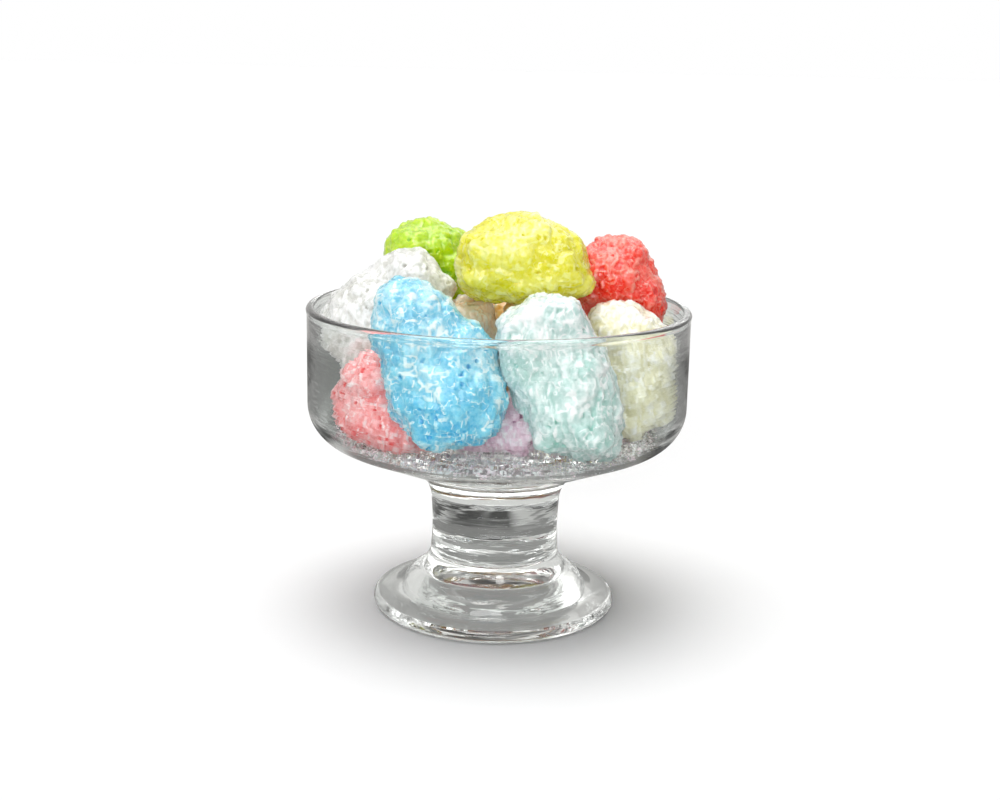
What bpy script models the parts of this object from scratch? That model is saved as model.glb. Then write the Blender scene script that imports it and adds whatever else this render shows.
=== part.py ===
"""Puffed gummy bears heaped in a clear footed dessert bowl.

Origin: centre of the foot's underside. +Z is up and -Y is the front.
Dimensions are in millimetres and are scaled to metres where the meshes are made.
"""
import math

import bmesh
import bpy
import numpy as np
from mathutils import Euler, Vector

MM = 0.001

# Pressed glass bowl
BOWL_HEIGHT = 85.5
WALL_RADIUS = 52.4          # outer face of the upright wall
WALL_THICKNESS = 2.2
BEAD_RADIUS = 1.2           # rolled rim, flush with the inside
BEAD_END = -35.0            # degrees, where the rim's roll meets the wall outside
CORNER_HEIGHT = 58.75       # where the upright wall starts to curve in
CORNER_RADIUS = 11.4
UNDERSIDE_SLOPE = 22.0      # degrees from level, of the cone under the bowl
STEM_FILLET = 10.0
STEM_RADIUS = 18.0
STEM_WAIST = (17.65, 22.5)  # radius and height where the stem is thinnest
INNER_CORNER_RADIUS = 10.0
FLOOR_SLOPE = 8.0           # degrees, where the floor meets the inner corner

# Stem ring, the flare and the roll of the bell, and the foot
GROOVE_HEIGHT = 15.8
GROOVE_DEPTH = 0.45
FLARE = ((18.3, 14.6), (19.5, 12.4), (21.0, 10.2))  # radius and height
LOWER_ROLL = (26.2, 3.7)    # radius and height at the lower end of the roll
ROLL_FULLNESS = 1.3
FOOT_RADIUS = 34.15
FOOT_THICKNESS = 3.4
FOOT_EDGE_RADIUS = 1.7
DOME_RADIUS = 22.0          # push-up under the foot
DOME_HEIGHT = 9.0
GLASS_STEPS = 40

# Puffed bears
CAGE_CUTS = 8               # cells along each side of a shown bear's cage
HIDDEN_CAGE_CUTS = 6
BLEND = 0.80                # how sharply one bulge meets the next, per millimetre
RELIEF = 0.55               # lumps of the puffed skin
RELIEF_WAVE = 11.0          # from one lump to the next
RELIEF_WAVES = 7            # crossing waves that make the lumps
UNEVEN = 0.10               # share by which bulges differ from the mould's
BEAR_GAP = 0.6              # room left between two bears that press together
WALL_GAP = 0.50              # room left between a bear and the glass
RAY_STEPS = 80
HALVINGS = 14

# Bulges of the mould, as shares of a bear's half width, half depth and half length:
# place across, towards the back and up, then size. A paired bulge is on both sides.
BULGES = {
    "belly": ((0.00, 0.00, -0.28), (0.88, 0.92, 0.62), False),
    "chest": ((0.00, 0.03, 0.18), (0.68, 0.78, 0.46), False),
    "head": ((0.00, 0.00, 0.60), (0.52, 0.64, 0.36), False),
    "muzzle": ((0.00, -0.46, 0.54), (0.27, 0.31, 0.17), False),
    "ear": ((0.31, 0.06, 0.86), (0.21, 0.23, 0.12), True),
    "arm": ((0.58, -0.30, 0.14), (0.26, 0.34, 0.18), True),
    "leg": ((0.46, -0.38, -0.72), (0.32, 0.42, 0.23), True),
}

# Each bear: size is width, depth and length; turn is degrees about X, Y and Z;
# lumps are where puffing swelled it further, as place from its centre and radius.
BEARS = {
    "bear_blue": dict(
        at=(-16.5, -25.5, 72.0), size=(26.0, 25.0, 43.0), turn=(-14, -22, 8), colour="57B7E2",
        lumps=[((5.5, -1.0, -6.0), 13.0), ((13.5, -1.0, -6.0), 7.0), ((8.0, 0.0, 5.5), 7.2),
               ((-10.0, 0.0, 10.5), 7.0), ((-7.5, 1.0, 17.0), 7.3), ((0.5, 0.0, 12.5), 7.0),
               ((-5.0, -1.0, 0.5), 7.0), ((-3.5, -1.0, -7.5), 8.0)],
    ),
    "bear_mint": dict(
        at=(17.0, -25.5, 70.0), size=(25.0, 25.0, 42.0), turn=(-12, -13, -10), colour="CFE9E2",
        lumps=[((-9.5, 0.0, 11.5), 8.3), ((3.0, 0.0, 2.0), 9.6), ((5.0, -1.0, -9.0), 9.7),
               ((-1.5, 0.0, 14.5), 7.6), ((-8.6, 0.0, 2.0), 8.0), ((7.5, -1.0, -14.6), 7.3)],
    ),
    "bear_yellow": dict(
        at=(7.5, -3.0, 97.6), size=(20.0, 25.0, 35.0), turn=(0, 96, 0), colour="F0EC50",
        lumps=[((-2.0, 0.0, 1.3), 12.6), ((-8.5, 0.0, 1.0), 10.6), ((5.0, 0.0, 0.4), 10.6),
               ((9.8, 0.0, -3.4), 8.0), ((-12.5, 0.0, -4.4), 7.0)],
    ),
    "bear_lime": dict(
        at=(-17.5, 19.0, 93.5), size=(22.0, 24.0, 30.0), turn=(0, -62, 15), colour="B9EA3C",
        lumps=[((-6.2, 0.0, 1.1), 9.0), ((-3.0, 0.0, 4.2), 8.6), ((4.0, 0.0, 2.0), 7.8)],
    ),
    "bear_red": dict(
        at=(34.0, 11.0, 87.5), size=(24.0, 24.0, 28.0), turn=(10, -10, 0), colour="EC4438",
        lumps=[((4.3, 0.0, -1.0), 8.8), ((1.2, 0.0, 8.8), 7.0), ((-6.0, 0.0, 5.0), 9.0)],
    ),
    "bear_white": dict(
        at=(-30.0, 1.0, 81.5), size=(25.0, 25.0, 39.0), turn=(0, 52, 0), colour="E9E8E3",
        lumps=[((-7.0, 0.0, -2.8), 12.0), ((7.0, 2.0, 4.0), 9.5), ((4.6, 1.0, 12.3), 7.4),
               ((-4.5, 0.0, 4.6), 8.3)],
    ),
    "bear_cream": dict(
        at=(36.5, -1.5, 68.3), size=(26.0, 27.0, 36.0), turn=(-6, -12, 20), colour="EFEED8",
        lumps=[((-5.5, 0.0, 10.5), 8.3), ((4.0, 0.0, 2.0), 11.5), ((2.0, 0.0, -7.5), 10.0)],
    ),
    "bear_peach": dict(
        at=(-7.5, 0.5, 71.5), size=(23.0, 22.0, 34.0), turn=(0, -4, 0), colour="F0D8C4",
    ),
    "bear_orange": dict(
        at=(7.5, 6.0, 72.5), size=(25.0, 23.0, 35.0), turn=(6, 4, 40), colour="F2A55C",
    ),
    "bear_pink": dict(
        at=(-28.5, -15.0, 59.0), size=(24.0, 23.0, 30.0), turn=(-10, -30, 15), colour="F3969B",
        lumps=[((8.0, -1.0, -6.0), 6.5), ((-8.0, 0.0, -0.5), 7.8), ((-5.5, 0.0, 7.5), 6.3)],
    ),
    "bear_mauve": dict(
        at=(3.0, -12.0, 54.0), size=(18.0, 18.0, 34.0), turn=(10, 80, 0), colour="CF98AE",
        lumps=[((2.0, -1.0, 1.0), 8.5)],
    ),
    "bear_back_left": dict(
        at=(-23.0, 22.0, 65.0), size=(31.0, 30.0, 40.0), turn=(0, -22, -35), colour="F3969B",
        hidden=True,
    ),
    "bear_back_right": dict(
        at=(26.0, 23.0, 63.0), size=(31.0, 29.0, 40.0), turn=(12, 30, 50), colour="F0EC50",
        hidden=True,
    ),
    "bear_back_middle": dict(
        at=(1.0, 31.0, 66.0), size=(29.0, 26.0, 40.0), turn=(10, 8, 0), colour="F2A55C",
        hidden=True,
    ),
}


def clear_scene():
    """Remove what the opened file holds."""
    for thing in list(bpy.data.objects):
        bpy.data.objects.remove(thing, do_unlink=True)


def linear_colour(text):
    """Linear red, green, blue and alpha of an sRGB hex colour."""
    parts = [int(text[i:i + 2], 16) / 255 for i in (0, 2, 4)]
    return [c / 12.92 if c <= 0.04045 else ((c + 0.055) / 1.055) ** 2.4 for c in parts] + [1.0]


def make_material(name, colour, roughness, clearness=0.0):
    """A Principled material. Clearness is the share of light that passes through."""
    material = bpy.data.materials.new(name)
    material.use_nodes = True
    shader = material.node_tree.nodes["Principled BSDF"]
    shader.inputs["Base Color"].default_value = linear_colour(colour)
    shader.inputs["Roughness"].default_value = roughness
    shader.inputs["Transmission Weight"].default_value = clearness
    return material


def add_object(name, mesh, material, collection):
    """Link a mesh as a named object."""
    mesh.materials.append(material)
    thing = bpy.data.objects.new(name, mesh)
    collection.objects.link(thing)
    return thing


def arc(centre, radius, start, end, count):
    """Points on an arc, from start to end in degrees, both ends included."""
    angles = [math.radians(start + (end - start) * i / (count - 1)) for i in range(count)]
    return [(centre[0] + radius * math.cos(a), centre[1] + radius * math.sin(a)) for a in angles]


def roll(top, bottom, count):
    """A convex roll from an upper point out to a lower one, without its first point."""
    points = []
    for i in range(1, count + 1):
        angle = math.pi / 2 * i / count
        r = top[0] + (bottom[0] - top[0]) * math.sin(angle) ** ROLL_FULLNESS
        z = bottom[1] + (top[1] - bottom[1]) * math.cos(angle)
        points.append((r, z))
    return points


INNER_RADIUS = WALL_RADIUS - WALL_THICKNESS
INNER_CORNER = (INNER_RADIUS - INNER_CORNER_RADIUS, CORNER_HEIGHT)
FLOOR_EDGE = arc(INNER_CORNER, INNER_CORNER_RADIUS, FLOOR_SLOPE - 90, 0, 2)[0]
FLOOR_RISE = FLOOR_EDGE[0] * math.tan(math.radians(FLOOR_SLOPE / 2))
FLOOR_HEIGHT = FLOOR_EDGE[1] - FLOOR_RISE


def floor_height(r):
    """Height of the bowl's floor at a radius."""
    return FLOOR_HEIGHT + FLOOR_RISE * (r / FLOOR_EDGE[0]) ** 2


def glass_profile():
    """Half section of the glass: up the inside, over the rim and down the outside."""
    inside = [(r, floor_height(r)) for r in (0.0, 16.0, 30.0)]
    inside += arc(INNER_CORNER, INNER_CORNER_RADIUS, FLOOR_SLOPE - 90, 0, 5)

    bead_centre = (INNER_RADIUS + BEAD_RADIUS, BOWL_HEIGHT - BEAD_RADIUS)
    bead = arc(bead_centre, BEAD_RADIUS, 180, BEAD_END, 7)
    outer_neck = (WALL_RADIUS, bead[-1][1] - BEAD_RADIUS / 2)

    corner = (WALL_RADIUS - CORNER_RADIUS, CORNER_HEIGHT)
    outside = arc(corner, CORNER_RADIUS, 0, UNDERSIDE_SLOPE - 90, 5)
    slope = math.radians(UNDERSIDE_SLOPE)
    cone_r, cone_z = outside[-1]
    fillet_r = STEM_RADIUS + STEM_FILLET
    cone_width = cone_r - fillet_r + STEM_FILLET * math.sin(slope)
    fillet_z = cone_z - cone_width * math.tan(slope) - STEM_FILLET * math.cos(slope)
    outside += arc((fillet_r, fillet_z), STEM_FILLET, 90 + UNDERSIDE_SLOPE, 180, 5)
    outside.append(STEM_WAIST)

    groove = [(STEM_RADIUS, GROOVE_HEIGHT + GROOVE_DEPTH),
              (STEM_RADIUS - GROOVE_DEPTH, GROOVE_HEIGHT),
              (STEM_RADIUS, GROOVE_HEIGHT - GROOVE_DEPTH)]
    bell = list(FLARE) + roll(FLARE[-1], LOWER_ROLL, 4)

    edge = (FOOT_RADIUS - FOOT_EDGE_RADIUS, FOOT_THICKNESS - FOOT_EDGE_RADIUS)
    foot = arc(edge, FOOT_EDGE_RADIUS, 90, -20, 4)
    foot.append((edge[0] - FOOT_EDGE_RADIUS / 2, 0.0))
    dome = [(DOME_RADIUS * math.cos(a), DOME_HEIGHT * math.sin(a))
            for a in [math.radians(d) for d in (0, 30, 60, 90)]]
    dome[-1] = (0.0, DOME_HEIGHT)
    return inside + bead + [outer_neck] + outside + groove + bell + foot + dome


def make_glass(material, collection):
    """The footed bowl, a half section turned once round."""
    mesh = bpy.data.meshes.new("glass_bowl")
    points = [(r * MM, 0.0, z * MM) for r, z in glass_profile()]
    mesh.from_pydata(points, [(i, i + 1) for i in range(len(points) - 1)], [])
    glass = add_object("glass_bowl", mesh, material, collection)
    turned = glass.modifiers.new("Turned", "SCREW")
    turned.axis = "Z"
    turned.steps = GLASS_STEPS
    turned.render_steps = GLASS_STEPS
    turned.use_merge_vertices = True
    turned.merge_threshold = 0.00001
    turned.use_smooth_shade = True
    return glass


def bear_bulges(bear, draw):
    """Bulges of one bear in its own axes: centres and half sizes, in millimetres."""
    half = np.array(bear["size"]) / 2
    centres, sizes = [], []
    for place, size, paired in BULGES.values():
        for side in ((1, -1) if paired else (1,)):
            uneven = 1 + UNEVEN * draw.uniform(-1, 1, 3)
            centres.append(np.array(place) * (side, 1, 1) * half * uneven)
            sizes.append(np.array(size) * half * uneven)
    return np.array(centres), np.array(sizes)


class Bear:
    """A puffed bear as a field: negative inside, about a distance in millimetres."""

    def __init__(self, name, bear):
        self.name = name
        self.bear = bear
        self.centre = np.array(bear["at"])
        turn = Euler([math.radians(a) for a in bear["turn"]])
        self.axes = np.array(turn.to_matrix())
        draw = np.random.default_rng(sum(ord(letter) for letter in name))
        self.centres, self.sizes = bear_bulges(bear, draw)
        self.lumps = bear.get("lumps", [])
        ways = draw.normal(size=(3, RELIEF_WAVES))
        lengths = RELIEF_WAVE * draw.uniform(0.8, 1.3, RELIEF_WAVES)
        self.waves = math.tau * ways / np.linalg.norm(ways, axis=0) / lengths
        self.starts = draw.uniform(0, math.tau, RELIEF_WAVES)

    def distance(self, points):
        """Field of the joined bulges at points given in the bowl's frame."""
        local = (points - self.centre) @ self.axes
        offset = local[:, None, :] - self.centres[None, :, :]
        near = np.linalg.norm(offset / self.sizes, axis=2)
        slope = np.linalg.norm(offset / self.sizes ** 2, axis=2)
        apart = near * (near - 1) / np.maximum(slope, 1e-9)
        for place, radius in self.lumps:
            ball = np.linalg.norm(points - self.centre - np.array(place), axis=1) - radius
            apart = np.column_stack([apart, ball])
        joined = -np.log(np.exp(-BLEND * np.clip(apart, -60, 60)).sum(axis=1)) / BLEND
        return joined - RELIEF * self.lumpiness(points)

    def lumpiness(self, points):
        """Smooth lumps of the skin, mostly from -1 to 1."""
        crossing = np.sin(points @ self.waves + self.starts).sum(axis=1)
        return crossing / math.sqrt(RELIEF_WAVES)


def outside_bowl(points):
    """How far points lie outside the room that the glass leaves for the bears."""
    r = np.hypot(points[:, 0], points[:, 1])
    z = points[:, 2]
    wall = r - INNER_RADIUS
    floor = floor_height(r) - z
    corner = np.hypot(r - INNER_CORNER[0], z - INNER_CORNER[1]) - INNER_CORNER_RADIUS
    in_corner = (r > INNER_CORNER[0]) & (z < INNER_CORNER[1])
    return np.maximum(np.maximum(wall, floor), np.where(in_corner, corner, -99)) + WALL_GAP


def bear_room(bear, others, points):
    """Field of one bear, cut by its neighbours and by the glass."""
    own = bear.distance(points)
    room = np.maximum(own, outside_bowl(points))
    for other in others:
        room = np.maximum(room, own - other.distance(points) + BEAR_GAP)
    return room


def cage_directions(cuts):
    """A cube cut into cells and blown up to a unit sphere."""
    cage = bmesh.new()
    bmesh.ops.create_cube(cage, size=2.0)
    bmesh.ops.subdivide_edges(cage, edges=cage.edges[:], cuts=cuts - 1, use_grid_fill=True)
    for corner in cage.verts:
        corner.co = Vector([math.tan(c * math.pi / 4) for c in corner.co]).normalized()
    return cage


def make_bear(bear, others, material, collection):
    """Blow a bear's cage out from its centre until it meets skin, neighbour or glass."""
    cage = cage_directions(HIDDEN_CAGE_CUTS if bear.bear.get("hidden") else CAGE_CUTS)
    stretch = np.array(bear.bear["size"]) / 2
    rays = np.array([corner.co for corner in cage.verts]) * stretch @ bear.axes.T
    near = np.zeros(len(rays))
    far = np.full(len(rays), np.nan)
    for step in range(1, RAY_STEPS + 1):
        reach = 2.0 * step / RAY_STEPS
        room = bear_room(bear, others, bear.centre + rays * reach)
        still_in = np.isnan(far) & (room < 0)
        far[np.isnan(far) & (room >= 0)] = reach
        near[still_in] = reach
    for _ in range(HALVINGS):
        middle = (near + far) / 2
        room = bear_room(bear, others, bear.centre + rays * middle[:, None])
        near = np.where(room < 0, middle, near)
        far = np.where(room < 0, far, middle)
    skin = bear.centre + rays * near[:, None]
    for corner, place in zip(cage.verts, skin):
        corner.co = Vector(place) * MM
    mesh = bpy.data.meshes.new(bear.name)
    cage.to_mesh(mesh)
    cage.free()
    mesh.shade_smooth()
    return add_object(bear.name, mesh, material, collection)


def near_bears(bear, bears):
    """Other bears that can reach this one."""
    reach = max(bear.bear["size"])
    return [other for other in bears if other is not bear
            and np.linalg.norm(other.centre - bear.centre) < (reach + max(other.bear["size"])) * 0.6]


def main():
    """Build the bowl and the bears."""
    clear_scene()
    collection = bpy.data.collections.new("gummy_bears_in_bowl")
    bpy.context.scene.collection.children.link(collection)
    make_glass(make_material("clear_glass", "EEF2F1", 0.03, 1.0), collection)
    bears = [Bear(name, bear) for name, bear in BEARS.items()]
    for bear in bears:
        material = make_material(f"{bear.name}_sugar_foam", bear.bear["colour"], 0.45)
        make_bear(bear, near_bears(bear, bears), material, collection)


main()
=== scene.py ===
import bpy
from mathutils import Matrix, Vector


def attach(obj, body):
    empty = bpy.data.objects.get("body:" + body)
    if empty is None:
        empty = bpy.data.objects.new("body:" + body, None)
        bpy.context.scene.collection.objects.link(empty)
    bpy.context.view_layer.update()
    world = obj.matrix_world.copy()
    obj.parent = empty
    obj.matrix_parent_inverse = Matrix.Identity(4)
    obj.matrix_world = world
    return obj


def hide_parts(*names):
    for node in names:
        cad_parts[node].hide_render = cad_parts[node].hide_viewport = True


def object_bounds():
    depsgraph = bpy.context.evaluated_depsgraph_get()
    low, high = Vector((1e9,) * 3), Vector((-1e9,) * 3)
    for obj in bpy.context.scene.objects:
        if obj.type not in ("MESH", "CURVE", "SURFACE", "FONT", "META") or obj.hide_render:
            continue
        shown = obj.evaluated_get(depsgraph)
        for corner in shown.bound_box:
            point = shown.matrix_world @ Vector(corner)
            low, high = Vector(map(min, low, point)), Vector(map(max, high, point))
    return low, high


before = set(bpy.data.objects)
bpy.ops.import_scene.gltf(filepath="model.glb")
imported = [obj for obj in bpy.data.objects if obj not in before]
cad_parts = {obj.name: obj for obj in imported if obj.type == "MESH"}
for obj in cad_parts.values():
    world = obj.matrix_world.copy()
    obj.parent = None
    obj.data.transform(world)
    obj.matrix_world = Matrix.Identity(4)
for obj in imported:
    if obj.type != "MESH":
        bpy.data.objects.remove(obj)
cadBox = [[float(v) for v in corner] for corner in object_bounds()]

import math

import bmesh
import bpy
import numpy as np
from mathutils import Matrix, Vector

mm = 0.001


# Small helpers

def linear(hexColour):
    # sRGB hex to linear red, green, blue and alpha
    parts = [int(hexColour[i:i + 2], 16) / 255 for i in (0, 2, 4)]
    return [c / 12.92 if c <= 0.04045 else ((c + 0.055) / 1.055) ** 2.4 for c in parts] + [1.0]


def addNode(tree, kind, settings=None, inputs=None):
    # a node with its settings, and its inputs as values or as links
    node = tree.nodes.new(kind)
    for name, value in (settings or {}).items():
        setattr(node, name, value)
    for place, value in (inputs or {}).items():
        if isinstance(value, bpy.types.NodeSocket):
            tree.links.new(value, node.inputs[place])
        else:
            node.inputs[place].default_value = value
    return node


def addSteps(tree, steps, given):
    # nodes from a table: an input may be a value, or name a given socket or an earlier step's output
    made = dict(given)
    for name, kind, settings, inputs in steps:
        linked = {place: made[value] if isinstance(value, str) else value
                  for place, value in inputs.items()}
        for output in addNode(tree, kind, settings, linked).outputs:
            made[f"{name}.{output.name}"] = output
    return made


def perMm(size):
    # a pattern's scale from the size of one of its cells
    return 1 / (size * mm)


def newMaterial(name):
    # an empty node material and its output
    material = bpy.data.materials.new(name)
    material.use_nodes = True
    material.node_tree.nodes.clear()
    return material, material.node_tree, material.node_tree.nodes.new("ShaderNodeOutputMaterial")


def newObject(name, mesh):
    thing = bpy.data.objects.new(name, mesh)
    bpy.context.scene.collection.objects.link(thing)
    return thing


def applied(thing, name):
    # the object's evaluated mesh as a plain mesh, with every modifier gone
    evaluated = thing.evaluated_get(bpy.context.evaluated_depsgraph_get())
    mesh = bpy.data.meshes.new_from_object(evaluated)
    mesh.name = name
    thing.modifiers.clear()
    thing.data = mesh
    return thing


def arc(centre, radius, start, end, count):
    # points on an arc, from start to end in degrees
    angles = [math.radians(start + (end - start) * i / (count - 1)) for i in range(count)]
    return [(centre[0] + radius * math.cos(a), centre[1] + radius * math.sin(a)) for a in angles]


# The camera of the photograph, fitted to the rim, the stem ring and the foot

view = {
    "place": (0.77, -383.9, 148.8),     # mm
    "down": 13.22,                      # degrees
    "roll": 1.2,
    "focalPixels": 1415.5,
    "imageWidth": 1000,
    "sensor": 36.0,
}


def makeCamera():
    data = bpy.data.cameras.new("photoCamera")
    data.sensor_fit = "HORIZONTAL"
    data.sensor_width = view["sensor"]
    data.lens = view["focalPixels"] / view["imageWidth"] * view["sensor"]
    camera = bpy.data.objects.new("photoCamera", data)
    bpy.context.scene.collection.objects.link(camera)
    tilt = Matrix.Rotation(math.radians(90 - view["down"]), 4, "X")
    roll = Matrix.Rotation(math.radians(view["roll"]), 4, "Z")
    camera.matrix_world = Matrix.Translation(Vector(view["place"]) * mm) @ tilt @ roll
    bpy.context.scene.camera = camera
    print("camera placed")


makeCamera()

# The glass bowl: one section turned once round, all in mm

bowl = {
    "height": 85.5,
    "wallRadius": 52.4,
    "wall": 2.2,
    "beadRadius": 1.2,          # rolled, fire-polished rim, flush with the inside
    "beadEnd": -35.0,           # degrees
    "cornerHeight": 58.75,
    "cornerRadius": 11.4,
    "undersideSlope": 22.0,     # degrees from level
    "filletRadius": 10.0,       # underside into stem
    "stemRadius": 18.0,
    "waistRadius": 17.65,       # where the stem is thinnest
    "innerCornerRadius": 10.0,
    "floorSlope": 8.0,          # degrees, where the floor meets the inner corner
    "grooveHeight": 15.8,
    "grooveDepth": 0.45,
    "flare": [(18.05, 15.2), (18.3, 14.6), (18.8, 13.55), (19.5, 12.4), (20.2, 11.3), (21.0, 10.2)],
    "lowerRoll": (26.2, 3.7),   # radius and height at the roll's lower end
    "rollFullness": 1.3,
    "footRadius": 34.15,
    "footThickness": 3.4,
    "footEdge": 1.7,
    "domeRadius": 22.0,         # push-up under the foot
    "domeHeight": 9.0,
    "steps": 192,
}
innerRadius = bowl["wallRadius"] - bowl["wall"]
innerCorner = (innerRadius - bowl["innerCornerRadius"], bowl["cornerHeight"])
floorEdge = arc(innerCorner, bowl["innerCornerRadius"], bowl["floorSlope"] - 90, 0, 2)[0]
floorRise = floorEdge[0] * math.tan(math.radians(bowl["floorSlope"] / 2))


def floorHeight(r):
    # height of the bowl's floor at a radius, in mm
    return floorEdge[1] - floorRise + floorRise * (r / floorEdge[0]) ** 2


def roll(top, bottom, count):
    # a convex roll of the bell, from an upper point out to a lower one
    points = []
    for i in range(1, count + 1):
        angle = math.pi / 2 * i / count
        r = top[0] + (bottom[0] - top[0]) * math.sin(angle) ** bowl["rollFullness"]
        points.append((r, bottom[1] + (top[1] - bottom[1]) * math.cos(angle)))
    return points


def bowlSection():
    # up the inside, over the rim, down the outside and in under the foot
    inside = [(innerCorner[0] * i / 10, floorHeight(innerCorner[0] * i / 10)) for i in range(10)]
    inside += arc(innerCorner, bowl["innerCornerRadius"], bowl["floorSlope"] - 90, 0, 16)
    beadCentre = (innerRadius + bowl["beadRadius"], bowl["height"] - bowl["beadRadius"])
    bead = arc(beadCentre, bowl["beadRadius"], 180, bowl["beadEnd"], 25)
    neck = [(bowl["wallRadius"], bead[-1][1] - bowl["beadRadius"] / 2 - drop) for drop in (0.0, 1.0)]

    corner = (bowl["wallRadius"] - bowl["cornerRadius"], bowl["cornerHeight"])
    outside = arc(corner, bowl["cornerRadius"], 0, bowl["undersideSlope"] - 90, 20)
    slope = math.radians(bowl["undersideSlope"])
    stem, fillet = bowl["stemRadius"], bowl["filletRadius"]
    coneWidth = outside[-1][0] - stem - fillet + fillet * math.sin(slope)
    filletZ = outside[-1][1] - coneWidth * math.tan(slope) - fillet * math.cos(slope)
    outside += arc((stem + fillet, filletZ), fillet, 90 + bowl["undersideSlope"], 180, 22)

    ring, deep = bowl["grooveHeight"], bowl["grooveDepth"]
    waist = [math.pi * i / 10 for i in range(1, 10)]
    outside += [(stem - (stem - bowl["waistRadius"]) * math.sin(a),
                 filletZ + (ring + deep - filletZ) * a / math.pi) for a in waist]
    groove = [(stem - deep * math.cos(a / 6 * math.pi) ** 2, ring - deep * a / 3) for a in range(-3, 4)]
    bell = bowl["flare"] + roll(bowl["flare"][-1], bowl["lowerRoll"], 16)
    edge = (bowl["footRadius"] - bowl["footEdge"], bowl["footThickness"] - bowl["footEdge"])
    foot = arc(edge, bowl["footEdge"], 90, -60, 14) + [(edge[0] - 0.2, 0.0)]
    dome = [(bowl["domeRadius"] * math.cos(a), bowl["domeHeight"] * math.sin(a))
            for a in [math.radians(90 * i / 20) for i in range(20)]] + [(0.0, bowl["domeHeight"])]
    return inside + bead + neck + outside + groove + bell + foot + dome


# Glass
# soda-lime glass, pressed and fire-polished: clear, hard gloss, faint ripple

glassLook = {
    "tint": "F3F6F5",
    "ior": 1.5,
    "rippleSize": 9.0,          # mm, waviness left by pressing
    "ripple": 0.04,
    "ringRipple": 0.08,         # stronger and drawn out round the stem and foot
    "ringSquash": 8.0,
    "ringZone": (32.0, 46.0),   # mm, where the stem's ripple ends and the bowl's begins
    "thickBelow": (50.0, 58.0), # mm, where the solid glass ends and the thin wall begins
    "shadow": (0.3, 0.86),      # light that a surface of each lets through to what lies behind
}


def makeGlassMaterial():
    material, tree, out = newMaterial("sodaLimeGlassPressed")
    place = addNode(tree, "ShaderNodeTexCoord").outputs["Object"]
    drawn = addNode(tree, "ShaderNodeVectorMath", {"operation": "MULTIPLY"}, {
        0: place, 1: (1.0, 1.0, glassLook["ringSquash"])}).outputs[0]
    ripple = addNode(tree, "ShaderNodeTexNoise", {}, {
        "Vector": drawn, "Scale": perMm(glassLook["rippleSize"]), "Detail": 1.0})
    low, high = [edge * mm for edge in glassLook["ringZone"]]
    height = addNode(tree, "ShaderNodeSeparateXYZ", {}, {0: place}).outputs["Z"]
    strength = addNode(tree, "ShaderNodeMapRange", {"interpolation_type": "SMOOTHSTEP"}, {
        "Value": height, "From Min": low, "From Max": high,
        "To Min": glassLook["ringRipple"], "To Max": glassLook["ripple"]}).outputs[0]
    bump = addNode(tree, "ShaderNodeBump", {}, {
        "Strength": strength, "Distance": 1.0 * mm, "Height": ripple.outputs["Fac"]})
    shader = addNode(tree, "ShaderNodeBsdfPrincipled", {}, {
        "Base Color": linear(glassLook["tint"]), "Roughness": 0.0, "IOR": glassLook["ior"],
        "Transmission Weight": 1.0, "Normal": bump.outputs["Normal"]})
    low, high = [edge * mm for edge in glassLook["thickBelow"]]
    passed = addNode(tree, "ShaderNodeMapRange", {"interpolation_type": "SMOOTHSTEP"}, {
        "Value": height, "From Min": low, "From Max": high,
        "To Min": glassLook["shadow"][0], "To Max": glassLook["shadow"][1]}).outputs[0]
    clear = addNode(tree, "ShaderNodeBsdfTransparent", {}, {"Color": passed})
    rays = addNode(tree, "ShaderNodeLightPath")
    mix = addNode(tree, "ShaderNodeMixShader", {}, {
        0: rays.outputs["Is Shadow Ray"], 1: shader.outputs[0], 2: clear.outputs[0]})
    tree.links.new(mix.outputs[0], out.inputs["Surface"])
    return material


def makeGlass():
    mesh = bpy.data.meshes.new("bowlSection")
    points = [(r * mm, 0.0, z * mm) for r, z in bowlSection()]
    mesh.from_pydata(points, [(i, i + 1) for i in range(len(points) - 1)], [])
    glass = newObject("glassBowl", mesh)
    turned = glass.modifiers.new("turned", "SCREW")
    turned.axis = "Z"
    turned.steps = turned.render_steps = bowl["steps"]
    turned.use_merge_vertices = True
    turned.merge_threshold = 0.00001
    applied(glass, "glassBowl")
    glass.data.materials.clear()
    glass.data.materials.append(makeGlassMaterial())
    glass.data.shade_smooth()
    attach(glass, "root")
    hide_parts("glass_bowl")
    print("glass turned:", len(glass.data.polygons), "faces")


makeGlass()

# The foam of the bears: gummy puffed to thin-walled bubbles, in mm

foam = {
    "levels": 3,
    "foldSize": 5.0,            # waves that fold the bubbles' rows
    "fold": 4.5,
    "lumpSize": 8.5,
    "bubbleSize": 3.8,
    "fineSize": 1.6,
    "bubbleEdge": (0.85, 0.1),  # from a cell's edge to its middle, as a pattern's distance
    "pitEdge": (0.46, 0.14),
    "dabSize": 3.6,             # pale flakes of torn bubble wall
    "dabShare": 0.26,
    "dabEdge": (0.46, 0.24),
    "threadSize": 3.4,          # loops of the stretched sugar threads
    "threadWidth": 0.04,
    "dashSize": 1.7,            # stretches over which a thread shows
    "dashEdge": (0.40, 0.56),
    "creaseSize": 2.2,
    "creaseLength": 3.2,        # times as long as wide
    "creaseWidth": 0.11,
    "patchSize": 6.5,
}


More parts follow.
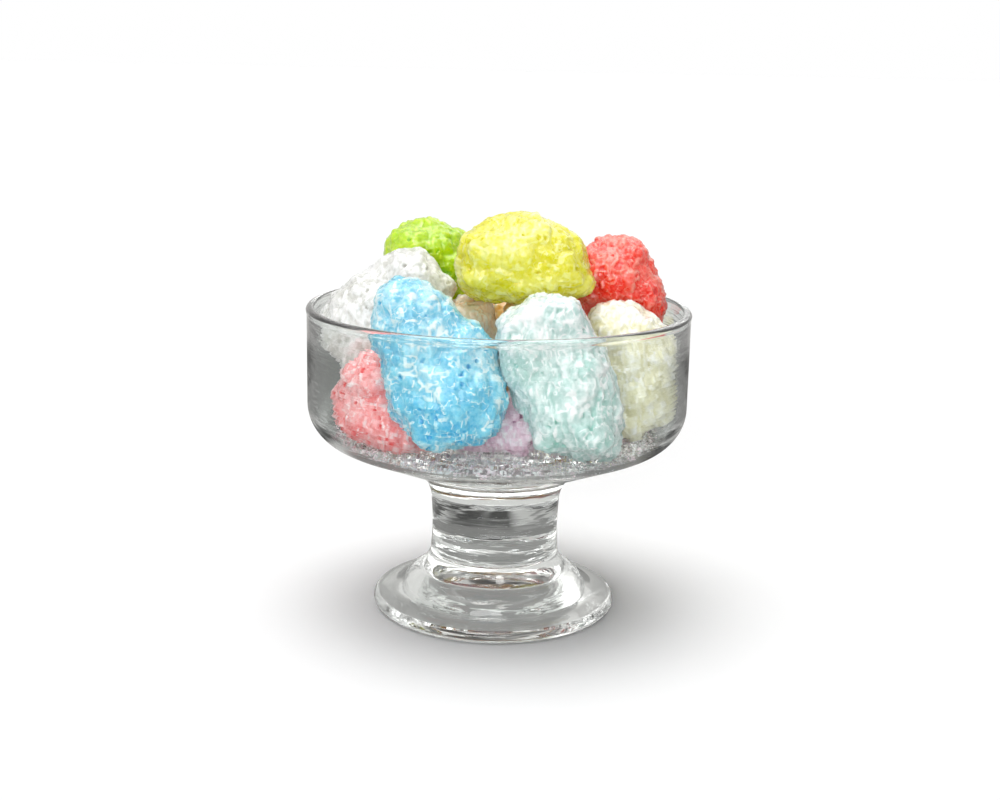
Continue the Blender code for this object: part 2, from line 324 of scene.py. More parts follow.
def foamSteps():
    # bubbles, burst pits, flakes, threads and creases, for the shape and the colour alike
    noise, cells, chart = "ShaderNodeTexNoise", "ShaderNodeTexVoronoi", "ShaderNodeMapRange"
    maths, vector, parts = "ShaderNodeMath", "ShaderNodeVectorMath", "ShaderNodeSeparateXYZ"
    soft = {"interpolation_type": "SMOOTHSTEP"}
    times, most = {"operation": "MULTIPLY"}, {"operation": "MAXIMUM"}

    def between(value, edges):
        return {"Value": value, "From Min": edges[0], "From Max": edges[1]}

    steps = [("patch", noise, {}, {"Vector": "place", "Scale": perMm(foam["patchSize"]), "Detail": 1.0})]
    for name, share in (("wavy", 1), ("curly", 3)):
        sway = (foam["fold"] / share * mm,) * 3
        steps += [
            (name + "Sway", noise, {}, {
                "Vector": "place", "Scale": perMm(foam["foldSize"] / share), "Detail": 2.0}),
            (name, vector, {"operation": "MULTIPLY_ADD"}, {0: name + "Sway.Color", 1: sway, 2: "place"}),
        ]
    for name, where, size in (("bubble", "wavy", foam["bubbleSize"]), ("bead", "curly", foam["fineSize"])):
        cell = name + "Cell"
        steps += [
            (cell, cells, {"feature": "F1"}, {"Vector": where + ".Vector", "Scale": perMm(size)}),
            (name, chart, soft, between(cell + ".Distance", foam["bubbleEdge"])),
            (name + "Dice", parts, {}, {0: cell + ".Color"}),
            (name + "Burst", maths, {"operation": "LESS_THAN"}, {0: name + "Dice.X", 1: "pits"}),
            (name + "Hollow", chart, soft, between(cell + ".Distance", foam["pitEdge"])),
            (name + "Pit", maths, times, {0: name + "Burst.Value", 1: name + "Hollow.Result"}),
        ]
    for name, where, size, zone in (("loop", "wavy", foam["threadSize"], (0.44, 0.58)),
                                    ("curl", "curly", foam["threadSize"] / 2, (0.53, 0.40))):
        steps += [
            (name + "Wave", noise, {}, {"Vector": where + ".Vector", "Scale": perMm(size), "Detail": 1.0}),
            (name + "Side", maths, {"operation": "SUBTRACT"}, {0: name + "Wave.Fac", 1: 0.5}),
            (name + "Away", maths, {"operation": "ABSOLUTE"}, {0: name + "Side.Value"}),
            (name + "Line", chart, soft, between(name + "Away.Value", (foam["threadWidth"], 0.0))),
            (name + "Zone", chart, soft, between("patch.Fac", zone)),
            (name + "Part", maths, times, {0: name + "Line.Result", 1: name + "Zone.Result"}),
            (name + "Break", noise, {}, {
                "Vector": where + ".Vector", "Scale": perMm(foam["dashSize"]), "Detail": 0.0}),
            (name + "Dash", chart, soft, between(name + "Break.Fac", foam["dashEdge"])),
            (name, maths, times, {0: name + "Part.Value", 1: name + "Dash.Result"}),
        ]
    for name, squash in (("dabFlat", (1.0, 1.0, 3.0)), ("dabSteep", (3.0, 1.0, 1.4))):
        steps += [
            (name + "Room", vector, times, {0: "wavy.Vector", 1: squash}),
            (name + "Cell", cells, {"feature": "F1"}, {
                "Vector": name + "Room.Vector", "Scale": perMm(foam["dabSize"])}),
            (name + "Dice", parts, {}, {0: name + "Cell.Color"}),
            (name + "Kept", maths, {"operation": "GREATER_THAN"}, {
                0: name + "Dice.X", 1: 1 - foam["dabShare"]}),
            (name + "Shape", chart, soft, between(name + "Cell.Distance", foam["dabEdge"])),
            (name, maths, times, {0: name + "Kept.Value", 1: name + "Shape.Result"}),
        ]
    stretch = (1.0, 1.0, 1 / foam["creaseLength"])
    return steps + [
        ("pit", maths, most, {0: "bubblePit.Value", 1: "beadPit.Value"}),
        ("thread", maths, most, {0: "loop.Value", 1: "curl.Value"}),
        ("dab", maths, most, {0: "dabFlat.Value", 1: "dabSteep.Value"}),
        ("long", vector, times, {0: "wavy.Vector", 1: stretch}),
        ("creaseWave", noise, {}, {
            "Vector": "long.Vector", "Scale": perMm(foam["creaseSize"]), "Detail": 1.5}),
        ("creaseSide", maths, {"operation": "SUBTRACT"}, {0: "creaseWave.Fac", 1: 0.5}),
        ("creaseAway", maths, {"operation": "ABSOLUTE"}, {0: "creaseSide.Value"}),
        ("crease", chart, soft, between("creaseAway.Value", (foam["creaseWidth"], 0.0))),
    ]


reliefs = {     # tree input: key in a bear's settings, pattern and its middle
    "Bubble Height": ("bubble", "bubble.Result", 0.55),
    "Bead Height": ("bead", "bead.Result", 0.5),
    "Thread Height": ("thread", "thread.Value", 0.1),
    "Dab Height": ("dab", "dab.Value", 0.1),
    "Crease Height": ("crease", "crease.Result", 0.3),
    "Pit Height": ("pit", "pit.Value", 0.0),
}


def makeFoamTree():
    # the shape: a smoothed skin pushed along its normals by the pattern
    tree = bpy.data.node_groups.new("puffedFoam", "GeometryNodeTree")
    face = tree.interface
    face.new_socket("Skin", in_out="INPUT", socket_type="NodeSocketGeometry")
    face.new_socket("Levels", in_out="INPUT", socket_type="NodeSocketInt")
    for name in list(reliefs) + ["Lump Height", "Pit Share", "Mean"]:
        face.new_socket(name, in_out="INPUT", socket_type="NodeSocketFloat")
    for name in ("Fineness", "Shift"):
        face.new_socket(name, in_out="INPUT", socket_type="NodeSocketVector")
    face.new_socket("Finish", in_out="INPUT", socket_type="NodeSocketMaterial")
    face.new_socket("Foam", in_out="OUTPUT", socket_type="NodeSocketGeometry")
    given = tree.nodes.new("NodeGroupInput").outputs
    result = tree.nodes.new("NodeGroupOutput")

    smooth = addNode(tree, "GeometryNodeSubdivisionSurface", {}, {
        "Mesh": given["Skin"], "Level": given["Levels"]})
    here = addNode(tree, "GeometryNodeInputPosition").outputs[0]
    place = addNode(tree, "ShaderNodeVectorMath", {"operation": "MULTIPLY_ADD"}, {
        0: here, 1: given["Fineness"], 2: given["Shift"]}).outputs[0]
    own = {"data_type": "FLOAT_VECTOR", "domain": "POINT"}
    kept = addNode(tree, "GeometryNodeStoreNamedAttribute", own, {
        "Geometry": smooth.outputs[0], "Name": "skinPlace", "Value": place})
    pattern = addSteps(tree, foamSteps(), {"place": place, "pits": given["Pit Share"]})
    lumps = addNode(tree, "ShaderNodeTexNoise", {}, {
        "Vector": place, "Scale": perMm(foam["lumpSize"]), "Detail": 0.0}).outputs["Fac"]

    height = given["Mean"]
    terms = [(lumps, given["Lump Height"], 0.5)]
    terms += [(pattern[key], given[name], middle) for name, (_, key, middle) in reliefs.items()]
    for value, size, middle in terms:
        centred = addNode(tree, "ShaderNodeMath", {"operation": "SUBTRACT"}, {
            0: value, 1: middle}).outputs[0]
        height = addNode(tree, "ShaderNodeMath", {"operation": "MULTIPLY_ADD"}, {
            0: centred, 1: size, 2: height}).outputs[0]
    push = addNode(tree, "ShaderNodeVectorMath", {"operation": "SCALE"}, {
        0: addNode(tree, "GeometryNodeInputNormal").outputs[0], "Scale": height}).outputs[0]
    moved = addNode(tree, "GeometryNodeSetPosition", {}, {"Geometry": kept.outputs[0], "Offset": push})
    shaded = addNode(tree, "GeometryNodeSetShadeSmooth", {}, {"Geometry": moved.outputs[0]})
    loose = addNode(tree, "GeometryNodeRealizeInstances", {}, {0: shaded.outputs[0]})
    done = addNode(tree, "GeometryNodeSetMaterial", {}, {
        "Geometry": loose.outputs[0], "Material": given["Finish"]})
    tree.links.new(done.outputs[0], result.inputs[0])
    return tree


# The flavours: colours from deep pit to pale thread, and how coarse each foam came out, in mm

plain = dict(lump=0.9, bubble=1.0, bead=0.3, thread=0.28, dab=0.2, crease=0.0, pit=-0.9, pits=0.08,
             mean=0.2, coarse=1.2)
flavours = {
    "foam_blue": dict(plain, deep="30ACDC", body="84D2E8", pale="E4F5F8", mean=0.55),
    "foam_mint": dict(plain, deep="9CD0C4", body="C6DEDA", pale="F4F8F6", crease=0.3, pits=0.05, mean=0.5,
                      coarse=1.3),
    "foam_yellow": dict(plain, deep="E0D800", body="E8E220", pale="FAF894", pits=0.14, mean=-0.05,
                        coarse=1.3),
    "foam_lime": dict(plain, deep="84CC00", body="B4DA00", pale="C6E424", pits=0.12),
    "foam_red": dict(plain, deep="E01810", body="F8402C", pale="FF9080", bead=0.35, pits=0.1, coarse=1.05),
    "foam_white": dict(plain, deep="C4C2BC", body="D8D8D2", pale="F2F2F0", crease=0.25, bubble=0.8),
    "foam_cream": dict(plain, deep="D8D4A8", body="ECE9CA", pale="FBFAEC", crease=0.25, coarse=1.3),
    "foam_peach": dict(plain, deep="FFCA9C", body="FFDEC2", pale="FFF0E0", bubble=0.6),
    "foam_orange": dict(plain, deep="FFA044", body="FFC878", pale="FFE2BC"),
    "foam_pink": dict(plain, deep="F45A5C", body="FFAAAA", pale="FFDCDC", pits=0.12, coarse=1.05),
    "foam_mauve": dict(plain, deep="C08EAA", body="F6D8E6", pale="FFF2F8", bead=0.4, coarse=1.0),
}
clearance = {"wall": 0.15, "top": 0.05}     # mm, to the glass and to the solids' highest point

foamLook = {
    "grainSize": 0.8,           # mm
    "grain": 0.1,               # how far the grain shifts the tone
    "patches": (0.3, 0.62),     # tone of the deepest and palest patch
    # the pit share pulls the tone towards the deep colour: painted shade in the hollows
    "toneShares": {"bubble.Result": 0.06, "dab.Value": 0.3, "thread.Value": 0.6, "pit.Value": -0.45},
    "creaseShare": 0.2,
    "heights": (55.0, 95.0),    # mm, between which the foam is painted paler upwards: painted light from above
    "heightTone": (-0.06, 0.12),
    "stops": (0.12, 0.5, 0.92),     # tones of the deep, body and pale colour
    "tinySize": 1.1,            # mm, bubbles too small for the mesh
    "tinyDepth": -0.9,
    "bump": 0.35,
    "gloss": (0.2, 0.4),        # roughness
    "lightReach": 3.0,          # mm that light travels in the foam
}


def makeFoamMaterial(slot, flavour):
    # freeze-dried gummy: brittle glossy sugar foam, pale where thin, with painted shade that deepens its
    # pits and painted light that pales it higher up
    material, tree, out = newMaterial("sugarFoam" + slot.split("_")[1].capitalize())
    place = addNode(tree, "ShaderNodeAttribute", {"attribute_name": "skinPlace"}).outputs["Vector"]
    pattern = addSteps(tree, foamSteps(), {"place": place, "pits": flavour["pits"]})
    grain = addNode(tree, "ShaderNodeTexNoise", {}, {
        "Vector": place, "Scale": perMm(foamLook["grainSize"]), "Detail": 2.0}).outputs["Fac"]
    deepest, palest = foamLook["patches"]
    tone = addNode(tree, "ShaderNodeMapRange", {}, {
        "Value": pattern["patch.Fac"], "From Min": 0.32, "From Max": 0.68,
        "To Min": deepest, "To Max": palest}).outputs[0]
    shares = dict(foamLook["toneShares"])
    if flavour["crease"]:
        shares["crease.Result"] = foamLook["creaseShare"]
    for key, share in shares.items():
        tone = addNode(tree, "ShaderNodeMath", {"operation": "MULTIPLY_ADD"}, {
            0: pattern[key], 1: share, 2: tone}).outputs[0]
    up = addNode(tree, "ShaderNodeSeparateXYZ", {}, {
        0: addNode(tree, "ShaderNodeTexCoord").outputs["Object"]}).outputs["Z"]
    low, high = [edge * mm for edge in foamLook["heights"]]
    # painted light: the foam's tone rises with height, so the top of the heap is paler
    paintedTopLight = addNode(tree, "ShaderNodeMapRange", {}, {
        "Value": up, "From Min": low, "From Max": high,
        "To Min": foamLook["heightTone"][0], "To Max": foamLook["heightTone"][1]}).outputs[0]
    tone = addNode(tree, "ShaderNodeMath", {"operation": "ADD"}, {0: tone, 1: paintedTopLight}).outputs[0]
    fleck = addNode(tree, "ShaderNodeMapRange", {}, {
        "Value": grain, "From Min": 0.3, "From Max": 0.7,
        "To Min": -foamLook["grain"], "To Max": foamLook["grain"]}).outputs[0]
    tone = addNode(tree, "ShaderNodeMath", {"operation": "ADD"}, {0: tone, 1: fleck}).outputs[0]
    ramp = addNode(tree, "ShaderNodeValToRGB", {}, {0: tone})
    stops = ramp.color_ramp.elements
    deepTone, bodyTone, paleTone = foamLook["stops"]
    stops[0].position, stops[0].color = deepTone, linear(flavour["deep"])
    stops[1].position, stops[1].color = paleTone, linear(flavour["pale"])
    stops.new(bodyTone).color = linear(flavour["body"])

    tiny = addNode(tree, "ShaderNodeTexVoronoi", {"feature": "SMOOTH_F1"}, {
        "Vector": place, "Scale": perMm(foamLook["tinySize"])})
    relief = addNode(tree, "ShaderNodeMath", {"operation": "MULTIPLY_ADD"}, {
        0: tiny.outputs["Distance"], 1: foamLook["tinyDepth"], 2: grain}).outputs[0]
    bump = addNode(tree, "ShaderNodeBump", {}, {
        "Strength": foamLook["bump"], "Distance": 0.3 * mm, "Height": relief})
    gloss = addNode(tree, "ShaderNodeMapRange", {}, {
        "Value": grain, "From Min": 0.35, "From Max": 0.65,
        "To Min": foamLook["gloss"][0], "To Max": foamLook["gloss"][1]}).outputs[0]
    shader = addNode(tree, "ShaderNodeBsdfPrincipled", {}, {
        "Base Color": ramp.outputs[0], "Roughness": gloss, "IOR": 1.5, "Subsurface Weight": 1.0,
        "Subsurface Radius": (1.0, 1.0, 1.0), "Subsurface Scale": foamLook["lightReach"] * mm,
        "Specular IOR Level": 0.35, "Coat Weight": 0.5, "Coat Roughness": 0.05, "Normal": bump.outputs[0]})
    tree.links.new(shader.outputs[0], out.inputs["Surface"])
    return material


def setInput(modifier, name, value):
    # a modifier's input, found by its socket's identifier
    for item in modifier.node_group.interface.items_tree:
        if item.in_out == "INPUT" and item.name == name:
            modifier[item.identifier] = value


def keepInside(mesh, highest):
    # foam never reaches into the glass or over the solids' highest point
    count = len(mesh.vertices)
    points = np.empty(count * 3, dtype=np.float32)
    mesh.vertices.foreach_get("co", points)
    points = points.reshape(-1, 3).astype(float) / mm
    r = np.hypot(points[:, 0], points[:, 1])
    gap = clearance["wall"]
    points[:, :2] *= (np.minimum(r, innerRadius - gap) / np.maximum(r, 1e-6))[:, None]
    r = np.minimum(r, innerRadius - gap)
    across, down = r - innerCorner[0], innerCorner[1] - points[:, 2]
    reach = np.hypot(across, down)
    limit = bowl["innerCornerRadius"] - gap
    over = (across > 0) & (down > 0) & (reach > limit)
    shrink = np.where(over, limit / np.maximum(reach, 1e-6), 1.0)
    newR = np.where(over, innerCorner[0] + across * shrink, r)
    points[:, :2] *= (newR / np.maximum(r, 1e-6))[:, None]
    points[:, 2] = np.where(over, innerCorner[1] - down * shrink, points[:, 2])
    points[:, 2] = np.maximum(points[:, 2], floorHeight(newR) + gap)
    points[:, 2] = np.minimum(points[:, 2], highest - clearance["top"])
    mesh.vertices.foreach_set("co", (points * mm).astype(np.float32).ravel())
    mesh.update()


def makeBears():
    tree = makeFoamTree()
    finishes = {slot: makeFoamMaterial(slot, flavour) for slot, flavour in flavours.items()}
    shared = {"bear_back_left": "foam_pink", "bear_back_right": "foam_yellow",
              "bear_back_middle": "foam_orange"}
    nodes = [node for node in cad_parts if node.startswith("bear_")]
    total = 0
    step = (0.31, 0.17, 0.23)   # metres, so that each bear shows its own stretch of the pattern
    for count, node in enumerate(sorted(nodes)):
        slot = shared.get(node, node.replace("bear_", "foam_"))
        flavour = flavours[slot]
        name = "foam" + "".join(word.capitalize() for word in node.split("_")[1:]) + "Bear"
        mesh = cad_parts[node].data.copy()
        work = bmesh.new()
        work.from_mesh(mesh)
        bmesh.ops.remove_doubles(work, verts=work.verts, dist=0.00001)
        bmesh.ops.join_triangles(work, faces=work.faces, angle_face_threshold=1.0,
                                 angle_shape_threshold=1.0)
        work.to_mesh(mesh)
        work.free()
        for attribute in ("normal", "custom_normal"):
            if attribute in mesh.attributes:
                mesh.attributes.remove(mesh.attributes[attribute])
        piece = newObject(name, mesh)
        shape = piece.modifiers.new("puffedFoam", "NODES")
        shape.node_group = tree
        setInput(shape, "Levels", foam["levels"])
        for label, (key, _, _) in reliefs.items():
            setInput(shape, label, flavour[key] * mm)
        setInput(shape, "Lump Height", flavour["lump"] * mm)
        setInput(shape, "Pit Share", flavour["pits"])
        setInput(shape, "Mean", flavour["mean"] * mm)
        setInput(shape, "Fineness", (1 / flavour["coarse"],) * 3)
        setInput(shape, "Shift", tuple(part * count for part in step))
        setInput(shape, "Finish", finishes[slot])
        applied(piece, name)
        keepInside(piece.data, cadBox[1][2] / mm)
        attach(piece, "root")
        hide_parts(node)
        total += sum(len(face.vertices) - 2 for face in piece.data.polygons)
    print("bears puffed:", len(nodes), "with", total, "triangles")


makeBears()

# Crumbs and sugar dust on the bowl's floor

crumbs = {
    "size": (0.3, 1.6),         # mm
    "perSquareCm": 135.0,
    "reach": 45.5,              # radius of the patch of floor that they lie on
    "fewLarge": 2.5,            # power that keeps large crumbs rare
    "least": (0.6, 0.5, 0.2),   # width, depth and height as shares of the size
    "most": (1.2, 0.9, 0.4),
    "tilt": 0.4,                # radians
    "tints": ["FFF8FA", "FFE6EE", "F8F0F2", "FFFFFF", "F8DCE6", "FFFFFF", "F4E4EA", "D6C6CA"],
    "seed": 7,
}


def makeCrumbMaterial():
    # broken sugar foam: glassy flecks, each with its own tint
    material, tree, out = newMaterial("sugarCrumb")
    own = addNode(tree, "ShaderNodeAttribute", {"attribute_name": "crumbTint"}).outputs["Fac"]
    ramp = addNode(tree, "ShaderNodeValToRGB", {}, {0: own})
    tints, stops = crumbs["tints"], ramp.color_ramp.elements
    ramp.color_ramp.interpolation = "CONSTANT"
    stops[0].color = linear(tints[0])
    stops[1].position, stops[1].color = 1 / len(tints), linear(tints[1])
    for i, tint in enumerate(tints[2:], 2):
        stops.new(i / len(tints)).color = linear(tint)
    shader = addNode(tree, "ShaderNodeBsdfPrincipled", {}, {
        "Base Color": ramp.outputs[0], "Roughness": 0.4, "IOR": 1.5, "Specular IOR Level": 0.25,
        "Subsurface Weight": 0.6, "Subsurface Radius": (1.0, 1.0, 1.0), "Subsurface Scale": 0.5 * mm})
    tree.links.new(shader.outputs[0], out.inputs["Surface"])
    return material


def makeCrumbTree():
    # crumbs dealt over the floor, each turned and sized by chance
    tree = bpy.data.node_groups.new("scatteredCrumbs", "GeometryNodeTree")
    face = tree.interface
    face.new_socket("Floor", in_out="INPUT", socket_type="NodeSocketGeometry")
    for name in ("Density", "Least", "Most"):
        face.new_socket(name, in_out="INPUT", socket_type="NodeSocketFloat")
    face.new_socket("Seed", in_out="INPUT", socket_type="NodeSocketInt")
    face.new_socket("Finish", in_out="INPUT", socket_type="NodeSocketMaterial")
    face.new_socket("Crumbs", in_out="OUTPUT", socket_type="NodeSocketGeometry")
    given = tree.nodes.new("NodeGroupInput").outputs
    result = tree.nodes.new("NodeGroupOutput")
    spots = addNode(tree, "GeometryNodeDistributePointsOnFaces", {}, {
        "Mesh": given["Floor"], "Density": given["Density"], "Seed": given["Seed"]})
    fleck = addNode(tree, "GeometryNodeMeshIcoSphere", {}, {"Radius": 0.5, "Subdivisions": 1})
    turn = addNode(tree, "FunctionNodeRandomValue", {"data_type": "FLOAT_VECTOR"}, {
        0: (-crumbs["tilt"], -crumbs["tilt"], 0.0), 1: (crumbs["tilt"], crumbs["tilt"], math.tau),
        "Seed": given["Seed"]})
    size = addNode(tree, "FunctionNodeRandomValue", {"data_type": "FLOAT"}, {
        2: 0.0, 3: 1.0, "Seed": given["Seed"]})
    few = addNode(tree, "ShaderNodeMath", {"operation": "POWER"}, {
        0: size.outputs[1], 1: crumbs["fewLarge"]}).outputs[0]
    wide = addNode(tree, "ShaderNodeMapRange", {}, {
        "Value": few, "To Min": given["Least"], "To Max": given["Most"]}).outputs[0]
    squash = addNode(tree, "FunctionNodeRandomValue", {"data_type": "FLOAT_VECTOR"}, {
        0: crumbs["least"], 1: crumbs["most"], "Seed": 3})
    scale = addNode(tree, "ShaderNodeVectorMath", {"operation": "SCALE"}, {
        0: squash.outputs[0], "Scale": wide})
    laid = addNode(tree, "GeometryNodeInstanceOnPoints", {}, {
        "Points": spots.outputs["Points"], "Instance": fleck.outputs["Mesh"], "Rotation": turn.outputs[0],
        "Scale": scale.outputs[0]})
    tint = addNode(tree, "FunctionNodeRandomValue", {"data_type": "FLOAT"}, {2: 0.0, 3: 1.0, "Seed": 11})
    own = {"data_type": "FLOAT", "domain": "INSTANCE"}
    tinted = addNode(tree, "GeometryNodeStoreNamedAttribute", own, {
        "Geometry": laid.outputs[0], "Name": "crumbTint", "Value": tint.outputs[1]})
    real = addNode(tree, "GeometryNodeRealizeInstances", {}, {0: tinted.outputs[0]})
    done = addNode(tree, "GeometryNodeSetMaterial", {}, {
        "Geometry": real.outputs[0], "Material": given["Finish"]})
    tree.links.new(done.outputs[0], result.inputs[0])
    return tree


def makeCrumbs():
    mesh = bpy.data.meshes.new("floorPatch")
    work = bmesh.new()
    bmesh.ops.create_circle(work, cap_ends=True, radius=crumbs["reach"] * mm, segments=64)
    bmesh.ops.triangulate(work, faces=work.faces)
    bmesh.ops.subdivide_edges(work, edges=work.edges, cuts=3, use_grid_fill=True)
    for point in work.verts:
        r = point.co.xy.length / mm
        across = max(r - innerCorner[0], 0.0)
        curve = innerCorner[1] - math.sqrt(bowl["innerCornerRadius"] ** 2 - across ** 2)
        point.co.z = ((floorHeight(r) if r < floorEdge[0] else curve) + crumbs["size"][0] / 2) * mm
    work.to_mesh(mesh)
    work.free()
    piece = newObject("sugarCrumbs", mesh)
    deal = piece.modifiers.new("scatteredCrumbs", "NODES")
    deal.node_group = makeCrumbTree()
    setInput(deal, "Density", crumbs["perSquareCm"] * 1e4)
    setInput(deal, "Least", crumbs["size"][0] * mm)
    setInput(deal, "Most", crumbs["size"][1] * mm)
    setInput(deal, "Seed", crumbs["seed"])
    setInput(deal, "Finish", makeCrumbMaterial())
    applied(piece, "sugarCrumbs")
    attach(piece, "root")
    print("crumbs dealt:", len(piece.data.polygons), "faces")


makeCrumbs()

# Floor, light and air: a white product shot, whose glass sees a grey studio

studio = {
    "floorReach": 60.0,         # metres, past where the eye could follow it
    "floorDrop": 0.2,           # mm below the foot, so that the two never share a plane
    "floorColour": "FBFBFB",
    "lightPaths": 24,           # turns that light may take inside the glass foot
    "airLight": 0.05,           # soft light from all round, as the share of white that it gives the floor
    "lamps": {                  # share of white on a face square to it, then spread, turn and height
        "overheadBank": (0.92, 58, -110, 85),
        "frontFill": (0.66, 40, -8, 8),
    },
    "greyTint": "FEFDFA",
    "greyNear": 0.3,            # painted glow: what glass shows of the floor close by and far off
    "greyFar": 0.235,
    "nearReach": 0.03,
    "farReach": 0.045,
    "streakSize": 32.0,         # mm, painted light and dark bands on the floor, seen in the stem as painted reflections
    "streakSquash": (1.0, 0.15, 0.0),
    "streakEdges": (0.44, 0.62),
    "streaks": (0.25, 2.4),     # their darkest and brightest, as shares of the grey
    "streakReach": (0.07, 0.2),     # metres from the stem, and how far they take to fade in and out
    "streakFade": (0.03, 0.05),
    "backReach": (0.36, 0.44),  # where the floor's painted glow meets the lighter studio wall
    "greyWall": 0.75,
    "ceiling": 0.85,
    "ceilingFrom": (0.25, 0.9), # upward share of the direction
    "windowEdge": (1.6, 0.6),   # where a window begins and is full, in half widths
    "windows": [                # turn, height and half width in degrees, and brightness
        (-75, 25, 14, 2.0),
        (60, 30, 12, 1.8),
        (150, 35, 16, 1.6),
        (-20, 60, 9, 9.0),
        (12, 40, 5, 9.0),
        (-45, 17, 5, 5.0),
        (0, 17, 2, 5.0),
    ],
}


def direction(turn, height):
    # from the bowl towards a lamp: turn 0 is the camera's side, and positive turns go right
    turn, height = math.radians(turn), math.radians(height)
    return Vector((math.sin(turn) * math.cos(height), -math.cos(turn) * math.cos(height), math.sin(height)))


def seenInGlass(tree):
    # 1 where the eye looks through glass or at a gloss, and 0 for light that a surface has scattered
    rays = addNode(tree, "ShaderNodeLightPath")
    either = addNode(tree, "ShaderNodeMath", {"operation": "MAXIMUM"}, {
        0: rays.outputs["Is Transmission Ray"], 1: rays.outputs["Is Glossy Ray"]}).outputs[0]
    straight = addNode(tree, "ShaderNodeMath", {"operation": "LESS_THAN"}, {
        0: rays.outputs["Diffuse Depth"], 1: 0.5}).outputs[0]
    both = addNode(tree, "ShaderNodeMath", {"operation": "MULTIPLY"}, {0: either, 1: straight}).outputs[0]
    return both, rays


def makeFloor():
    mesh = bpy.data.meshes.new("studioFloor")
    work = bmesh.new()
    bmesh.ops.create_grid(work, x_segments=1, y_segments=1, size=studio["floorReach"])
    bmesh.ops.translate(work, verts=work.verts, vec=(0, 0, -studio["floorDrop"] * mm))
    work.to_mesh(mesh)
    work.free()
    floor = newObject("studioFloor", mesh)
    material, tree, out = newMaterial("whitePaperSweep")
    paper = addNode(tree, "ShaderNodeBsdfPrincipled", {}, {
        "Base Color": linear(studio["floorColour"]), "Roughness": 0.9, "Specular IOR Level": 0.0})
    place = addNode(tree, "ShaderNodeTexCoord").outputs["Object"]
    away = addNode(tree, "ShaderNodeVectorMath", {"operation": "LENGTH"}, {0: place}).outputs["Value"]
    shade = addNode(tree, "ShaderNodeMapRange", {"interpolation_type": "SMOOTHSTEP"}, {
        "Value": away, "From Min": studio["nearReach"], "From Max": studio["farReach"],
        "To Min": studio["greyNear"], "To Max": studio["greyFar"]}).outputs[0]
    sideways = addNode(tree, "ShaderNodeVectorMath", {"operation": "MULTIPLY"}, {
        0: place, 1: studio["streakSquash"]}).outputs[0]
    bands = addNode(tree, "ShaderNodeTexNoise", {}, {
        "Vector": sideways, "Scale": perMm(studio["streakSize"]), "Detail": 1.0}).outputs["Fac"]
    paintedStreak = addNode(tree, "ShaderNodeMapRange", {"interpolation_type": "SMOOTHSTEP"}, {
        "Value": bands, "From Min": studio["streakEdges"][0], "From Max": studio["streakEdges"][1],
        "To Min": studio["streaks"][0], "To Max": studio["streaks"][1]}).outputs[0]
    (near, far), (fadeIn, fadeOut) = studio["streakReach"], studio["streakFade"]
    begun = addNode(tree, "ShaderNodeMapRange", {"interpolation_type": "SMOOTHSTEP"}, {
        "Value": away, "From Min": near, "From Max": near + fadeIn}).outputs[0]
    going = addNode(tree, "ShaderNodeMapRange", {"interpolation_type": "SMOOTHSTEP"}, {
        "Value": away, "From Min": far, "From Max": far + fadeOut, "To Min": 1.0, "To Max": 0.0}).outputs[0]
    part = addNode(tree, "ShaderNodeMath", {"operation": "MULTIPLY"}, {0: going, 1: begun}).outputs[0]
    spread = addNode(tree, "ShaderNodeMapRange", {}, {
        "Value": part, "To Min": 1.0, "To Max": paintedStreak}).outputs[0]
    shade = addNode(tree, "ShaderNodeMath", {"operation": "MULTIPLY"}, {0: shade, 1: spread}).outputs[0]
    back = addNode(tree, "ShaderNodeMapRange", {"interpolation_type": "SMOOTHSTEP"}, {
        "Value": away, "From Min": studio["backReach"][0], "From Max": studio["backReach"][1],
        "To Max": studio["greyWall"] - studio["greyFar"]}).outputs[0]
    shade = addNode(tree, "ShaderNodeMath", {"operation": "ADD"}, {0: shade, 1: back}).outputs[0]
    # where glass shows it, the floor glows grey though it is no lamp: a painted studio with painted streaks
    grey = addNode(tree, "ShaderNodeEmission", {}, {"Color": linear(studio["greyTint"]), "Strength": shade})
    through = seenInGlass(tree)[0]
    mix = addNode(tree, "ShaderNodeMixShader", {}, {0: through, 1: paper.outputs[0], 2: grey.outputs[0]})
    tree.links.new(mix.outputs[0], out.inputs["Surface"])
    mesh.materials.append(material)


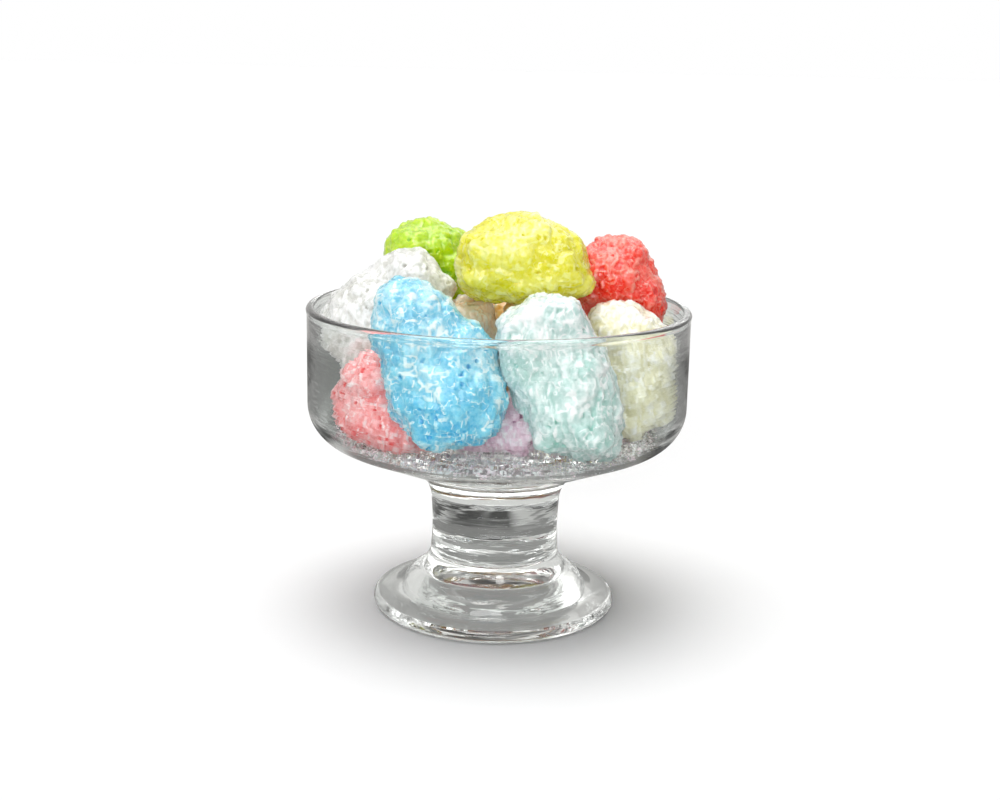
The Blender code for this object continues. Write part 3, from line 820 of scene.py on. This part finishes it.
def makeAir():
    world = bpy.data.worlds.new("studioAir")
    bpy.context.scene.world = world
    world.use_nodes = True
    tree = world.node_tree
    tree.nodes.clear()
    out = tree.nodes.new("ShaderNodeOutputWorld")
    way = addNode(tree, "ShaderNodeTexCoord").outputs["Generated"]
    up = addNode(tree, "ShaderNodeSeparateXYZ", {}, {0: way}).outputs["Z"]
    glow = addNode(tree, "ShaderNodeMapRange", {"interpolation_type": "SMOOTHSTEP"}, {
        "Value": up, "From Min": studio["ceilingFrom"][0], "From Max": studio["ceilingFrom"][1],
        "To Min": studio["greyWall"], "To Max": studio["ceiling"]}).outputs[0]
    outer, inner = studio["windowEdge"]
    for turn, height, half, brightness in studio["windows"]:
        near = addNode(tree, "ShaderNodeVectorMath", {"operation": "DOT_PRODUCT"}, {
            0: way, 1: tuple(direction(turn, height))}).outputs["Value"]
        pane = addNode(tree, "ShaderNodeMapRange", {"interpolation_type": "SMOOTHSTEP"}, {
            "Value": near, "From Min": math.cos(math.radians(half * outer)),
            "From Max": math.cos(math.radians(half * inner)), "To Max": brightness}).outputs[0]
        glow = addNode(tree, "ShaderNodeMath", {"operation": "ADD"}, {0: glow, 1: pane}).outputs[0]
    seen = addNode(tree, "ShaderNodeBackground", {}, {"Color": (1, 1, 1, 1), "Strength": 1.0})
    lit = addNode(tree, "ShaderNodeBackground", {}, {"Color": (1, 1, 1, 1), "Strength": studio["airLight"]})
    grey = addNode(tree, "ShaderNodeBackground", {}, {
        "Color": linear(studio["greyTint"]), "Strength": glow})
    through, rays = seenInGlass(tree)
    first = addNode(tree, "ShaderNodeMixShader", {}, {0: through, 1: lit.outputs[0], 2: grey.outputs[0]})
    both = addNode(tree, "ShaderNodeMixShader", {}, {
        0: rays.outputs["Is Camera Ray"], 1: first.outputs[0], 2: seen.outputs[0]})
    tree.links.new(both.outputs[0], out.inputs["Surface"])


def makeLamps():
    # lamps far away, so that the whole floor is lit alike
    for name, (share, spread, turn, height) in studio["lamps"].items():
        data = bpy.data.lights.new(name, "SUN")
        data.energy = share * math.pi
        data.angle = math.radians(spread)
        lamp = bpy.data.objects.new(name, data)
        bpy.context.scene.collection.objects.link(lamp)
        lamp.matrix_world = direction(turn, height).to_track_quat("Z", "Y").to_matrix().to_4x4()


makeFloor()
makeAir()
makeLamps()
bpy.context.scene.view_settings.view_transform = "Standard"
for kind in ("max", "glossy", "transmission"):
    setattr(bpy.context.scene.cycles, kind + "_bounces", studio["lightPaths"])
print("studio lit")
